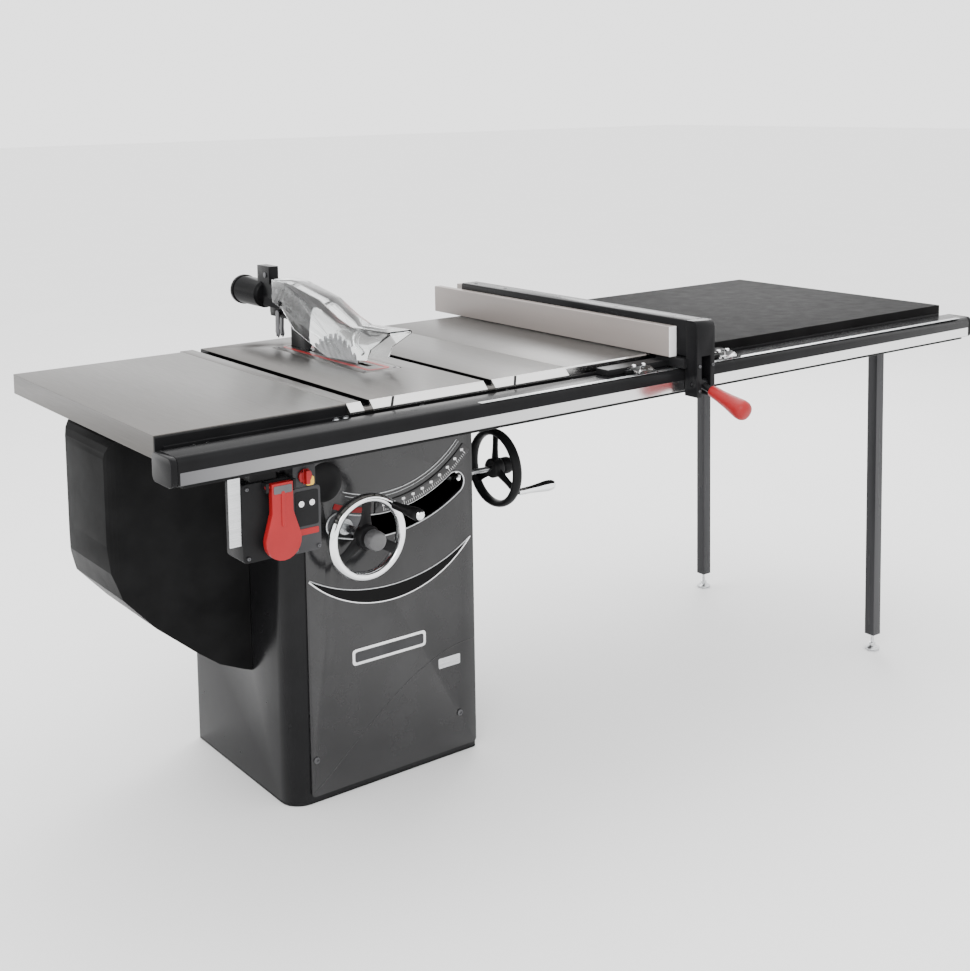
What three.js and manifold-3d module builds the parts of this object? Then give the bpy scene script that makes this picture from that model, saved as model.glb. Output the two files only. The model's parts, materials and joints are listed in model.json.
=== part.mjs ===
// Cabinet table saw with cast-iron top, long fence rail and right-hand extension table.
// Millimetres, +Z up, +X right along the fence rail, +Y to the back. The origin is on the
// floor under the middle of the cabinet.
import * as THREE from 'three';
import { mergeVertices } from 'three/addons/utils/BufferGeometryUtils.js';
import Module from 'manifold-3d';

const wasm = await Module();
wasm.setup();

// Driving dimensions
const TABLE_TOP = 864;
const TABLE_FRONT = -444;
const WING_REAR = 240;
const MAIN_REAR = 252;
const WING_LEFT = -590;
const SEAM_LEFT = -220;
const SEAM_MAIN = 294;
const SEAM_WING = 528;
const EXT_RIGHT = 1538;
const IRON_DEPTH = 40;
const PLATE = 16;
const EXT_DEPTH = 38;
const SLOT_X = [-180.5, 98.5];
const SLOT_WIDTH = 19;
const SLOT_DEPTH = 10;
const GAP = 0.3;

const CAB_X = 228;
const CAB_Y = 211;
const CAB_TOP = 823.7;
const CAB_WALL = 3;
const CAB_CORNER = 45;

const RAIL_Y0 = -536;
const RAIL_Y1 = -460;
const RAIL_Z0 = 794;
const RAIL_Z1 = 844;
const RAIL_LEFT = -589;
const RAIL_RIGHT = 1530;

const BLADE_R = 127;
const BLADE_Y = -40;
const ARBOR_Z = 787;
const MOTOR_Y = 60;
const MOTOR_Z = 610;
const MOTOR_R = 78;

const SHAFT_R = 324;
const SHAFT_DEG = -15;
const SLOT_R0 = 298;
const SLOT_R1 = 344;
const TILT_Y = -162;
const TILT_Z = 594;

const GUARD_Y = 150;
const GUARD_Z = 960;
const PORT_R = 32;
const PORT_Z = 969;
const PAWL_Y = 200;
const PAWL_Z = 930;

const FENCE_X0 = 540;
const FENCE_X1 = 590;
const HEAD_FRONT = -574;
const LEVER_DEG = 17.6;
const LEVER_PIVOT = [565, -558, 812];
const LEG_X = 1333;
const LEG_YS = [-408, 184];

// Materials
const PALETTE = {
  blackPaint: [0x16161a, 0.35, 0.1],
  panelBlack: [0x131316, 0.22, 0.1],
  castIron: [0x8d8986, 0.38, 0.85],
  laminate: [0x2b2a2c, 0.5, 0.0],
  steel: [0xb9bcc0, 0.3, 1.0],
  darkSteel: [0x4a4b4e, 0.45, 0.9],
  chrome: [0xd8dadd, 0.12, 1.0],
  blackPlastic: [0x1b1b1d, 0.5, 0.0],
  greyPlastic: [0x3c3d40, 0.5, 0.0],
  red: [0xb3262b, 0.4, 0.0],
  clear: [0xdfe6e8, 0.08, 0.0],
  fenceFace: [0x9a918c, 0.45, 0.1],
  rubber: [0x121212, 0.85, 0.0],
  insert: [0x5c1f20, 0.45, 0.0],
};

function material(name) {
  const [color, roughness, metalness] = PALETTE[name];
  return new THREE.MeshStandardMaterial({ color, roughness, metalness });
}

// Solid helpers
function solid(geometry) {
  const bare = geometry.clone();
  for (const key of Object.keys(bare.attributes)) {
    if (key !== 'position') bare.deleteAttribute(key);
  }
  const merged = mergeVertices(bare, 1e-3);
  const index = merged.index.array;
  const tris = [];
  for (let i = 0; i < index.length; i += 3) {
    const [a, b, c] = [index[i], index[i + 1], index[i + 2]];
    if (a !== b && b !== c && a !== c) tris.push(a, b, c);
  }
  return new wasm.Manifold(new wasm.Mesh({
    numProp: 3,
    vertProperties: new Float32Array(merged.attributes.position.array),
    triVerts: new Uint32Array(tris),
  }));
}

function box(x0, x1, y0, y1, z0, z1) {
  const g = new THREE.BoxGeometry(x1 - x0, y1 - y0, z1 - z0);
  g.translate((x0 + x1) / 2, (y0 + y1) / 2, (z0 + z1) / 2);
  return solid(g);
}

function extrude(points, depth, holes = []) {
  const shape = new THREE.Shape(points.map(([a, b]) => new THREE.Vector2(a, b)));
  for (const hole of holes) {
    shape.holes.push(new THREE.Path(hole.map(([a, b]) => new THREE.Vector2(a, b))));
  }
  return new THREE.ExtrudeGeometry(shape, { depth, bevelEnabled: false });
}

// Outline in (x, y), pulled up from z0 to z1.
function prismZ(points, z0, z1, holes) {
  const g = extrude(points, z1 - z0, holes);
  g.translate(0, 0, z0);
  return solid(g);
}

// Outline in (x, z), running from y0 to y1.
function prismY(points, y0, y1, holes) {
  const g = extrude(points, y1 - y0, holes);
  const basis = new THREE.Matrix4().makeBasis(
    new THREE.Vector3(1, 0, 0),
    new THREE.Vector3(0, 0, 1),
    new THREE.Vector3(0, -1, 0),
  );
  g.applyMatrix4(basis);
  g.translate(0, y1, 0);
  return solid(g);
}

// Outline in (y, z), running from x0 to x1.
function prismX(points, x0, x1, holes) {
  const g = extrude(points, x1 - x0, holes);
  const basis = new THREE.Matrix4().makeBasis(
    new THREE.Vector3(0, 1, 0),
    new THREE.Vector3(0, 0, 1),
    new THREE.Vector3(1, 0, 0),
  );
  g.applyMatrix4(basis);
  g.translate(x0, 0, 0);
  return solid(g);
}

// Lathe of (radius, position) points about an axis parallel to x, y or z.
function lathe(axis, profile, a, b, segments = 32) {
  const points = profile.map(([r, t]) => new THREE.Vector2(r, t));
  const g = new THREE.LatheGeometry(points, segments);
  if (axis === 'x') {
    g.rotateZ(-Math.PI / 2);
    g.translate(0, a, b);
  } else if (axis === 'y') {
    g.translate(a, 0, b);
  } else {
    g.rotateX(Math.PI / 2);
    g.translate(a, b, 0);
  }
  const body = solid(g);
  return body.volume() < 0 ? lathe(axis, [...profile].reverse(), a, b, segments) : body;
}

function cyl(axis, r, t0, t1, a, b, segments = 28) {
  return lathe(axis, [[0, t0], [r, t0], [r, t1], [0, t1]], a, b, segments);
}

function ring(axis, r0, r1, t0, t1, a, b, segments = 28) {
  return lathe(axis, [[r0, t0], [r1, t0], [r1, t1], [r0, t1], [r0, t0]], a, b, segments);
}

function union(...bodies) {
  return bodies.flat().reduce((sum, body) => sum.add(body));
}

function cut(body, ...tools) {
  return tools.flat().reduce((sum, tool) => sum.subtract(tool), body);
}

// Rounded rectangle outline: four radii from the low-a low-b corner, anticlockwise.
function roundRect(a0, a1, b0, b1, radii, steps = 4) {
  const corners = [
    [a0, b0, 1, 1, 180],
    [a1, b0, -1, 1, 270],
    [a1, b1, -1, -1, 0],
    [a0, b1, 1, -1, 90],
  ];
  const points = [];
  corners.forEach(([a, b, sa, sb, start], i) => {
    const r = Array.isArray(radii) ? radii[i] : radii;
    if (r <= 0) {
      points.push([a, b]);
      return;
    }
    for (let k = 0; k <= steps; k += 1) {
      const t = THREE.MathUtils.degToRad(start + (90 * k) / steps);
      points.push([a + sa * r + r * Math.cos(t), b + sb * r + r * Math.sin(t)]);
    }
  });
  return points;
}

// Ring sector about (0, TABLE_TOP) in the x-z plane; angles from straight down towards +X.
function sector(r0, r1, deg0, deg1, steps = 16) {
  const at = (r, deg) => {
    const t = THREE.MathUtils.degToRad(deg);
    return [r * Math.sin(t), TABLE_TOP - r * Math.cos(t)];
  };
  const points = [];
  for (let k = 0; k <= steps; k += 1) points.push(at(r1, deg0 + ((deg1 - deg0) * k) / steps));
  for (let k = 0; k <= steps; k += 1) points.push(at(r0, deg1 + ((deg0 - deg1) * k) / steps));
  return points;
}

// Moves every side of a convex anticlockwise outline inwards by t.
function inset(points, t) {
  const n = points.length;
  const lines = points.map(([a, b], i) => {
    const [c, d] = points[(i + 1) % n];
    const len = Math.hypot(c - a, d - b);
    const [nx, ny] = [-(d - b) / len, (c - a) / len];
    return { p: [a + nx * t, b + ny * t], d: [(c - a) / len, (d - b) / len] };
  });
  return lines.map((line, i) => {
    const prev = lines[(i + n - 1) % n];
    const det = prev.d[0] * line.d[1] - prev.d[1] * line.d[0];
    if (Math.abs(det) < 1e-6) return line.p;
    const dx = line.p[0] - prev.p[0];
    const dy = line.p[1] - prev.p[1];
    const s = (dx * line.d[1] - dy * line.d[0]) / det;
    return [prev.p[0] + prev.d[0] * s, prev.p[1] + prev.d[1] * s];
  });
}

const saw = new THREE.Group();
saw.name = 'table_saw';

function add(name, body, paint) {
  const out = body.getMesh();
  const g = new THREE.BufferGeometry();
  g.setAttribute('position', new THREE.BufferAttribute(new Float32Array(out.vertProperties), 3));
  g.setIndex(new THREE.BufferAttribute(new Uint32Array(out.triVerts), 1));
  g.computeVertexNormals();
  const mesh = new THREE.Mesh(g, material(paint));
  mesh.name = name;
  saw.add(mesh);
}

// ---- Cabinet ----
function cabinetOutline(t) {
  const r = [CAB_CORNER - t, 6 - Math.min(t, 5), 6 - Math.min(t, 5), 6 - Math.min(t, 5)];
  return roundRect(-CAB_X + t, CAB_X - t, -CAB_Y + t, CAB_Y - t, r, 6);
}

// Curved slot with round ends for the blade-height handwheel's shaft.
function slotCutter(y0, y1) {
  const mid = (SLOT_R0 + SLOT_R1) / 2;
  const half = (SLOT_R1 - SLOT_R0) / 2;
  const ends = [-20, 34].map((deg) => {
    const t = THREE.MathUtils.degToRad(deg);
    return cyl('y', half, y0, y1, mid * Math.sin(t), TABLE_TOP - mid * Math.cos(t), 28);
  });
  return union(prismY(sector(SLOT_R0, SLOT_R1, -20, 34, 16), y0, y1), ends);
}

function cabinetShell() {
  const outer = prismZ(cabinetOutline(0), 5.3, CAB_TOP);
  const inner = prismZ(cabinetOutline(CAB_WALL), 0, CAB_TOP + 10);
  return cut(
    outer,
    inner,
    slotCutter(-230, -195),
    box(-240, -215, -48, 178, 262, 775),
    cyl('x', 12, 200, 240, TILT_Y, TILT_Z, 20),
    cyl('y', 50.6, 195, 230, 0, 150, 32),
  );
}

function frontPanel() {
  const outline = roundRect(-183, 226, 14, 792, 8, 3);
  const holes = [[-171, 90], [183, 90]].map(([x, z]) => cyl('y', 4, -220, -205, x, z, 12));
  return cut(prismY(outline, -214.3, -211.3), slotCutter(-220, -205), holes);
}

function dustPort() {
  const flange = ring('y', 47, 66, 211.3, 214.3, 0, 150, 32);
  const tube = ring('y', 47, 50, 205, 268, 0, 150, 32);
  return union(flange, tube);
}

// ---- Table ----
function pocketGrid(xs, ys, low) {
  const tools = [];
  for (const [x0, x1] of xs) {
    for (const [y0, y1] of ys) tools.push(box(x0, x1, y0, y1, low - 5, TABLE_TOP - PLATE));
  }
  return tools;
}

function mainTable() {
  const under = TABLE_TOP - IRON_DEPTH;
  const profile = [
    [TABLE_FRONT, TABLE_TOP], [-458, 850], [-458, 846], [-446, 846], [-446, under],
    [MAIN_REAR - 8, under], [MAIN_REAR, under + 8], [MAIN_REAR, TABLE_TOP],
  ];
  const slots = SLOT_X.map((x) => box(
    x - SLOT_WIDTH / 2, x + SLOT_WIDTH / 2, -470, 270, TABLE_TOP - SLOT_DEPTH, TABLE_TOP + 5,
  ));
  return cut(
    prismX(profile, SEAM_LEFT, SEAM_MAIN),
    slots,
    box(-206, 200, -200, 200, 800, TABLE_TOP - PLATE),
    pocketGrid([[-205, -50], [-38, 120], [132, 279]], [[-432, -215]], under),
    pocketGrid([[212, 279]], [[-200, -5], [5, 200]], under),
    box(-38, 38, -219, 149.5, 830, TABLE_TOP + 5),
    box(-45.3, 45.3, -226.3, 154.3, 857, TABLE_TOP + 5),
  );
}

function throatInsert() {
  const plate = prismZ(roundRect(-45, 45, -226, 154, 10, 4), 857.3, TABLE_TOP);
  return cut(plate, box(-3, 10.5, -170, 150, 850, 870));
}

function wing(x0, x1) {
  const under = TABLE_TOP - IRON_DEPTH;
  const body = box(x0, x1, TABLE_FRONT, WING_REAR, under, TABLE_TOP);
  const count = Math.round((x1 - x0) / 120);
  const step = (x1 - x0 - 16) / count;
  const xs = [];
  for (let i = 0; i < count; i += 1) xs.push([x0 + 14 + i * step, x0 + 2 + (i + 1) * step]);
  const ys = [[-430, -275], [-265, -106], [-96, 63], [73, 226]];
  return cut(body, pocketGrid(xs, ys, under));
}

function extensionTable() {
  const under = TABLE_TOP - EXT_DEPTH;
  const body = box(SEAM_WING + GAP, EXT_RIGHT, TABLE_FRONT, WING_REAR, under, TABLE_TOP);
  const pocket = (x0, x1) => box(x0, x1, TABLE_FRONT + 25, WING_REAR - 25, 800, TABLE_TOP - 19);
  return cut(body, pocket(SEAM_WING + 25, 1020), pocket(1045, LEG_X - 40), pocket(LEG_X + 40, 1513));
}

// ---- Rails and legs ----
function railTube() {
  const outer = prismX(roundRect(RAIL_Y0, RAIL_Y1, RAIL_Z0, RAIL_Z1, 12, 5), RAIL_LEFT, RAIL_RIGHT);
  const bore = roundRect(RAIL_Y0 + 3, RAIL_Y1 - 3, RAIL_Z0 + 3, RAIL_Z1 - 3, 9, 4);
  return cut(outer, prismX(bore, RAIL_LEFT - 5, RAIL_RIGHT + 5));
}

function railCap(face, side) {
  const span = (a, b) => (side < 0 ? [face - b, face - a] : [face + a, face + b]);
  const outer = roundRect(RAIL_Y0, RAIL_Y1, RAIL_Z0, RAIL_Z1, 12, 4);
  const plug = roundRect(RAIL_Y0 + 3.4, RAIL_Y1 - 3.4, RAIL_Z0 + 3.4, RAIL_Z1 - 3.4, 8, 3);
  const [c0, c1] = span(GAP, 12);
  const [p0, p1] = span(-14, 1);
  return union(prismX(outer, c0, c1), prismX(plug, p0, p1));
}

function frontAngle() {
  return union(
    box(-575, 1525, -452, -446.3, 788, 845),
    box(-575, 1525, -520, -451, 788, 793.7),
  );
}

function rearAngle() {
  return union(
    box(-540, 1536, 252.3, 258, 800, 845),
    box(-540, 1536, 257, 300, 839, 845),
  );
}

function leg(y) {
  const h = 13.5;
  const tube = cut(
    box(LEG_X - h, LEG_X + h, y - h, y + h, 40, 823),
    box(LEG_X - h + 2.5, LEG_X + h - 2.5, y - h + 2.5, y + h - 2.5, 48, 815),
  );
  const side = y < 0 ? 1 : -1;
  const pad = box(LEG_X - 30, LEG_X + 30, y - 13.5, y + 13.5, 819, 825.7);
  const ear = box(LEG_X - 13, LEG_X + 13, Math.min(y, y + side * 40), Math.max(y, y + side * 40), 819, 825.7);
  return cut(union(tube, pad, ear), cyl('z', 4.6, 30, 60, LEG_X, y, 16), cyl('z', 3, 800, 850, LEG_X, y, 12));
}

function legFoot(y) {
  const profile = [[0, 0], [18, 0], [18, 5], [8, 11], [8, 18], [4.1, 18], [4.1, 92], [0, 92]];
  return lathe('z', profile, LEG_X, y, 20);
}

// ---- Tilting frame ----
function trunnionBracket(y0, y1) {
  const arc = prismY(sector(130, 175, -70, 70, 14), y0, y1);
  const bar = box(-180, 180, y0, y1, 806, 847.7);
  const window = prismY(sector(0.1, 129.9, -80, 80, 12), y0 - 1, y1 + 1);
  return union(arc, cut(bar, window));
}

function trunnionCradle() {
  const outline = [
    [-190, 838], [-200, 700], [-200, 420], [-165, 420], [-50, 530], [10, 640], [30, 790], [-20, 838],
  ];
  const window = [[-150, 800], [-170, 680], [-170, 620], [-60, 660], [-30, 780], [-45, 800]];
  const plates = [[-186, -172], [172, 186]].map(([y0, y1]) => prismY(outline, y0, y1, [window]));
  const ties = [
    box(-189, -160, -173, 173, 806, 830),
    box(-200, -182, -173, 173, 420.5, 445),
  ];
  const [sx, sz] = shaftAt();
  return cut(union(plates, ties), cyl('y', 8.4, -190, -168, sx, sz, 24));
}

function tiltSector() {
  const body = prismY(sector(236, 258, -50, 5, 24), -171.6, -156);
  const teeth = [];
  for (let deg = -48; deg <= 3; deg += 3) {
    teeth.push(prismY(sector(255, 261.3, deg - 0.7, deg + 0.7, 1), -170, -157));
  }
  return union(body, teeth);
}

function shaftAt() {
  const t = THREE.MathUtils.degToRad(SHAFT_DEG);
  return [SHAFT_R * Math.sin(t), TABLE_TOP - SHAFT_R * Math.cos(t)];
}

// ---- Handwheels ----
function elevationShaft() {
  const [x, z] = shaftAt();
  const profile = [
    [0, -316], [6.4, -316], [6.4, -300], [8, -300], [8, -205], [16, -205], [16, -189],
    [8, -189], [8, -174], [0, -174],
  ];
  return lathe('y', profile, x, z, 24);
}

function spokes(axis, count, r0, r1, half, t0, t1, a, b, start) {
  const bars = [];
  for (let i = 0; i < count; i += 1) {
    const deg = start + (360 * i) / count;
    const bar = axis === 'y' ? box(r0, r1, t0, t1, -half, half) : box(t0, t1, r0, r1, -half, half);
    const turned = axis === 'y' ? bar.rotate([0, deg, 0]) : bar.rotate([deg, 0, 0]);
    bars.push(axis === 'y' ? turned.translate([a, 0, b]) : turned.translate([0, a, b]));
  }
  return bars;
}

function elevationHub() {
  const [x, z] = shaftAt();
  const hub = ring('y', 6.8, 24, -296, -262, x, z, 28);
  const bars = spokes('y', 3, 20, 70.9, 11, -294, -284, x, z, 30);
  const bore = cyl('y', 8.4, -280, -255, x, z, 24);
  const counter = cyl('y', 6.8, -320, -250, x, z, 24);
  return cut(union(hub, bars), bore, counter, cyl('y', 8.4, -299.9, -255, x, z, 24));
}

function elevationRim() {
  const [x, z] = shaftAt();
  const profile = [];
  for (let k = 0; k <= 10; k += 1) {
    const t = (2 * Math.PI * k) / 10;
    profile.push([80 + 8 * Math.cos(t), -286 + 12.5 * Math.sin(t)]);
  }
  const spot = handleSpot();
  const boss = cyl('y', 9, -299.5, -284, spot[0], spot[1], 16);
  return cut(union(lathe('y', profile, x, z, 36), boss), cyl('y', 3.4, -310, -287, spot[0], spot[1], 12));
}

function handleSpot() {
  const [x, z] = shaftAt();
  const t = THREE.MathUtils.degToRad(47);
  return [x + 79 * Math.cos(t), z + 79 * Math.sin(t)];
}

function handleBody(axis, t0, side, a, b) {
  const profile = [
    [0, -11], [3, -11], [3, 1], [6, 1], [8.5, 6], [8, 30], [11, 60], [13, 84], [10.5, 94], [5, 98], [0, 98],
  ].map(([r, t]) => [r, t0 + side * t]);
  return lathe(axis, profile, a, b, 20);
}

function elevationLock() {
  const [x, z] = shaftAt();
  const profile = [[0, -330], [14, -330], [19, -326], [20, -306], [17, -301], [6.8, -301],
    [6.8, -317], [0, -317]];
  return lathe('y', profile, x, z, 24);
}

function tiltShaft() {
  const profile = [
    [0, -52], [7.4, -52], [7.4, 52], [6, 54], [6, 200], [10, 202], [10, 212], [6, 214], [6, 312],
    [5, 312], [5, 352], [0, 352],
  ];
  return lathe('x', profile, TILT_Y, TILT_Z, 20);
}

function tiltWheel() {
  const profile = [];
  for (let k = 0; k <= 8; k += 1) {
    const t = (2 * Math.PI * k) / 8;
    profile.push([80 + 8 * Math.cos(t), 327 + 12 * Math.sin(t)]);
  }
  const rim = lathe('x', profile, TILT_Y, TILT_Z, 32);
  const hub = ring('x', 5.4, 22, 313, 340, TILT_Y, TILT_Z, 24);
  const bars = spokes('x', 3, 18, 76, 11, 322, 333, TILT_Y, TILT_Z, 90);
  const [hy, hz] = tiltHandleSpot();
  const boss = cyl('x', 9, 325, 341, hy, hz, 16);
  const bore = cyl('x', 5.4, 300, 360, TILT_Y, TILT_Z, 20);
  return cut(union(rim, hub, bars, boss), bore, cyl('x', 3.4, 329, 350, hy, hz, 12));
}

function tiltHandleSpot() {
  const t = THREE.MathUtils.degToRad(214);
  return [TILT_Y + 79 * Math.cos(t), TILT_Z + 79 * Math.sin(t)];
}

function tiltLock() {
  const profile = [[0, 353], [5.4, 353], [5.4, 340.6], [16, 340.6], [19, 346], [19, 362], [15, 368],
    [0, 368]];
  return lathe('x', profile, TILT_Y, TILT_Z, 24);
}

// ---- Arbor, motor and blade ----
function arborCarriage() {
  const plate = prismX(
    [[-120, 700], [-70, 519.5], [110, 519.5], [130, 700], [130, 780], [90, 820], [-90, 820], [-120, 780]],
    -100,
    -84,
  );
  const housing = cyl('x', 32, -84.5, -14, BLADE_Y, ARBOR_Z, 28);
  const foot = box(-430, -84, -20, 110, 519.5, 531.7);
  const rear = box(-430, -100, 110, 140, 519.5, 531.7);
  const arm = box(-85, -1.6, 104, 124, 726, 746);
  const boss = cyl('x', 8, -85, -12.3, 104, 667, 16);
  const bore = cyl('x', 10.4, -110, 0, BLADE_Y, ARBOR_Z, 28);
  return cut(union(plate, housing, foot, rear, arm, boss), bore);
}

function arborShaft() {
  const profile = [
    [0, -150], [10, -150], [10, -145], [30, -145], [30, -141], [27, -137], [30, -133], [27, -129],
    [30, -125], [30, -120], [10, -120], [10, -13.6], [25, -13.6], [25, -1.8], [7.8, -1.8], [7.8, 24], [0, 24],
  ];
  return lathe('x', profile, BLADE_Y, ARBOR_Z, 20);
}

function motorPulley() {
  const profile = [
    [0, -189.6], [9, -189.6], [9, -145], [38, -145], [38, -141], [35, -137], [38, -133], [35, -129],
    [38, -125], [38, -120], [0, -120],
  ];
  return lathe('x', profile, MOTOR_Y, MOTOR_Z, 20);
}

function motor() {
  const r = MOTOR_R;
  const profile = [
    [0, -470], [r - 22, -470], [r - 4, -458], [r - 4, -420], [r, -418], [r, -240], [r - 4, -238],
    [r - 4, -204], [r - 30, -190], [0, -190],
  ];
  const barrel = lathe('x', profile, MOTOR_Y, MOTOR_Z, 32);
  const capacitor = prismX(roundRect(24, 96, 670, 712, 12, 3), -400, -280);
  const base = box(-400, -250, 15, 105, 532, 560);
  return union(barrel, capacitor, base);
}

function sawBlade() {
  const points = [];
  const teeth = 40;
  for (let i = 0; i < teeth; i += 1) {
    const at = (f, r) => {
      const t = (2 * Math.PI * (i + f)) / teeth;
      return [BLADE_Y + r * Math.cos(t), ARBOR_Z + r * Math.sin(t)];
    };
    points.push(at(0, BLADE_R), at(0.32, BLADE_R - 1.2), at(0.5, BLADE_R - 6), at(0.78, BLADE_R - 10));
    points.push(at(0.97, BLADE_R - 7));
  }
  return cut(prismX(points, -1.4, 1.4), cyl('x', 8.1, -5, 5, BLADE_Y, ARBOR_Z, 24));
}

function arborNut() {
  const flange = cyl('x', 22, 1.7, 7, BLADE_Y, ARBOR_Z, 28);
  const hex = cyl('x', 12.5, 6.5, 19, BLADE_Y, ARBOR_Z, 6);
  return cut(union(flange, hex), cyl('x', 8.1, 0, 30, BLADE_Y, ARBOR_Z, 24));
}

function beltLoop(extra) {
  const [dy, dz] = [BLADE_Y - MOTOR_Y, ARBOR_Z - MOTOR_Z];
  const d = Math.hypot(dy, dz);
  const base = Math.atan2(dz, dy);
  const r0 = 38 + extra;
  const r1 = 30 + extra;
  const half = Math.acos((r0 - r1) / d);
  const points = [];
  for (let k = 0; k <= 14; k += 1) {
    const t = base + half + ((2 * Math.PI - 2 * half) * k) / 14;
    points.push([MOTOR_Y + r0 * Math.cos(t), MOTOR_Z + r0 * Math.sin(t)]);
  }
  for (let k = 0; k <= 10; k += 1) {
    const t = base - half + (2 * half * k) / 10;
    points.push([BLADE_Y + r1 * Math.cos(t), ARBOR_Z + r1 * Math.sin(t)]);
  }
  return points;
}

function driveBelt() {
  return cut(prismX(beltLoop(5.5), -143, -122), prismX(beltLoop(1), -150, -110));
}

function ridingSpreader() {
  const points = [[95, 720], [148, 720], [148, 922], [240, 922], [243, 932], [243, 968], [236, 975]];
  points.push([84, 975], [60, 962], [58, 930]);
  for (let k = 0; k <= 6; k += 1) {
    const t = THREE.MathUtils.degToRad(44 - (44 * k) / 6);
    points.push([BLADE_Y + 134 * Math.cos(t), ARBOR_Z + 134 * Math.sin(t)]);
  }
  return cut(prismX(points, -1.1, 1.1), cyl('x', 4.5, -3, 3, PAWL_Y, PAWL_Z, 16));
}

// ---- Guard ----
function guardBracket() {
  const body = prismX(
    [[128, 944], [250, 944], [262, 952], [262, 990], [278, 996], [278, 1035], [223, 1035], [223, 996],
      [150, 990], [128, 975]],
    -12,
    12,
  );
  const port = ring('y', PORT_R - 5, PORT_R, 262, 372, 0, PORT_Z, 28);
  const collar = lathe('y', [[0, 252], [26, 256], [PORT_R, 262], [PORT_R, 268], [0, 268]], 0, PORT_Z, 28);
  const lip = ring('y', PORT_R - 5, PORT_R + 2.5, 362, 372, 0, PORT_Z, 28);
  const pin = cyl('x', 5, -29, 29, GUARD_Y, GUARD_Z, 16);
  const slot = box(-1.5, 1.5, 50, 245, 930, 978);
  const open = cyl('y', PORT_R - 5, 268.5, 390, 0, PORT_Z, 28);
  return cut(union(body, collar, port, lip, pin), slot, open);
}

function kickbackPawls() {
  const outline = [[-8, 4], [-8, -6], [-6, -34], [-9, -46], [-2, -54], [1, -47], [5, -52], [8, -43],
    [10, -42], [9, -34], [8, -6], [8, 4], [4, 8], [-4, 8]];
  const shape = outline.map(([a, b]) => [PAWL_Y + a, PAWL_Z + b]);
  return union(
    prismX(shape, -7, -4),
    prismX(shape, 4, 7),
    cyl('x', 4, -6, 6, PAWL_Y, PAWL_Z, 16),
  );
}

const GUARD_TOP = [[183, 1012], [119, 1012], [-22, 988], [-98, 958], [-147, 945], [-290, 952]];
const GUARD_BOTTOM = [[-294, 946], [-222, 908], [-208, 884], [-100, 872], [-50, 870], [90, 911], [140, 950],
  [183, 962]];

function guardSide(top, x0, x1) {
  const outline = [...GUARD_TOP.map(([y, z]) => [y, z - top]), ...GUARD_BOTTOM];
  return prismX(outline, x0, x1);
}

function guardCanopy() {
  const strip = [...GUARD_TOP, ...GUARD_TOP.map(([y, z]) => [y, z - 3]).reverse()];
  const boss = cyl('x', 10, 13, 25, GUARD_Y, GUARD_Z, 20);
  const nose = box(-20, 25, -290, -287, 944, 952);
  return cut(
    union(guardSide(0, 24, 27), prismX(strip, -23.6, 27), boss, nose),
    cyl('x', 5.5, 10, 30, GUARD_Y, GUARD_Z, 20),
  );
}

function guardSideLeft() {
  const boss = cyl('x', 10, -25, -13, GUARD_Y, GUARD_Z, 20);
  return cut(
    union(guardSide(0, -27, -24), boss),
    cyl('x', 5.5, -30, -10, GUARD_Y, GUARD_Z, 20),
  );
}

// ---- Motor cover ----
function coverOutline() {
  const points = [[-228.5, 243], [-228.5, 780]];
  for (let k = 0; k <= 6; k += 1) {
    const t = THREE.MathUtils.degToRad(90 + 15 * k);
    points.push([-470 + 50 * Math.cos(t), 730 + 50 * Math.sin(t)]);
  }
  points.push([-520, 560], [-516, 506], [-498, 452], [-433, 381], [-352, 313], [-300, 274], [-247, 250]);
  return points;
}

function motorCover() {
  const outline = coverOutline();
  const plan = (t) => roundRect(-521 + t, -100, -60 + t, 190 - t, [26 - t, 0, 0, 45 - t], 5);
  const outer = prismY(outline, -60, 190).intersect(prismZ(plan(0), 200, 800));
  const inner = inset(outline, 3).map(([x, z]) => [x > -232 ? -200 : x, z]);
  const hollow = prismY(inner, -57, 187).intersect(prismZ(plan(3), 200, 800));
  return cut(outer, hollow);
}

function coverLatch() {
  const profile = [[0, 190.4], [13, 190.4], [13, 197], [0, 197]];
  return union(lathe('y', profile, -262, 740, 20), box(-275, -249, 196, 205, 736.5, 743.5));
}

// ---- Switches ----
function switchPlate() {
  return union(
    box(-484, -462, -498, -495, 664, 787.7),
    box(-484, -462, -498, -456, 784.7, 787.7),
  );
}

function switchBox() {
  const body = prismY(roundRect(-461.5, -366, 632, 768, 8, 3), -500, -440);
  const neck = box(-440, -390, -490, -450, 765, 787.7);
  const hinge = [-424, -372].map((x) => box(x, x + 5, -518, -499, 752, 768));
  return cut(union(body, neck, hinge), cyl('x', 3.5, -430, -360, -512, 760, 12));
}

function switchPaddle() {
  const points = [[-415, 766], [-415, 715]];
  for (let k = 0; k <= 14; k += 1) {
    const t = THREE.MathUtils.degToRad(160 + (220 * k) / 14);
    points.push([-394.5 + 34 * Math.cos(t), 665 + 34 * Math.sin(t)]);
  }
  points.push([-375, 715], [-375, 766]);
  const plate = prismY(points, -521, -509);
  const pins = cyl('x', 3, -423, -367.5, -512, 760, 12).subtract(box(-414, -376, -520, -500, 700, 790));
  return union(plate, pins);
}

function switchModule() {
  const lower = prismY(roundRect(-365.6, -310, 629, 744, 6, 3), -500, -440);
  const upper = prismY(roundRect(-362, -318, 742, 787, 6, 3), -498, -445);
  return union(lower, upper);
}

function powerKnob() {
  const disc = cyl('y', 13, -504, -498.4, -340, 764, 20);
  return union(disc, box(-344, -336, -514, -503, 752, 776));
}

// ---- Fence ----
function fenceTube() {
  return cut(
    prismY(roundRect(FENCE_X0, FENCE_X1, 868, 945, 4, 2), -540.7, 247),
    box(FENCE_X0 + 3, FENCE_X1 - 3, -560, 260, 871, 942),
  );
}

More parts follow.
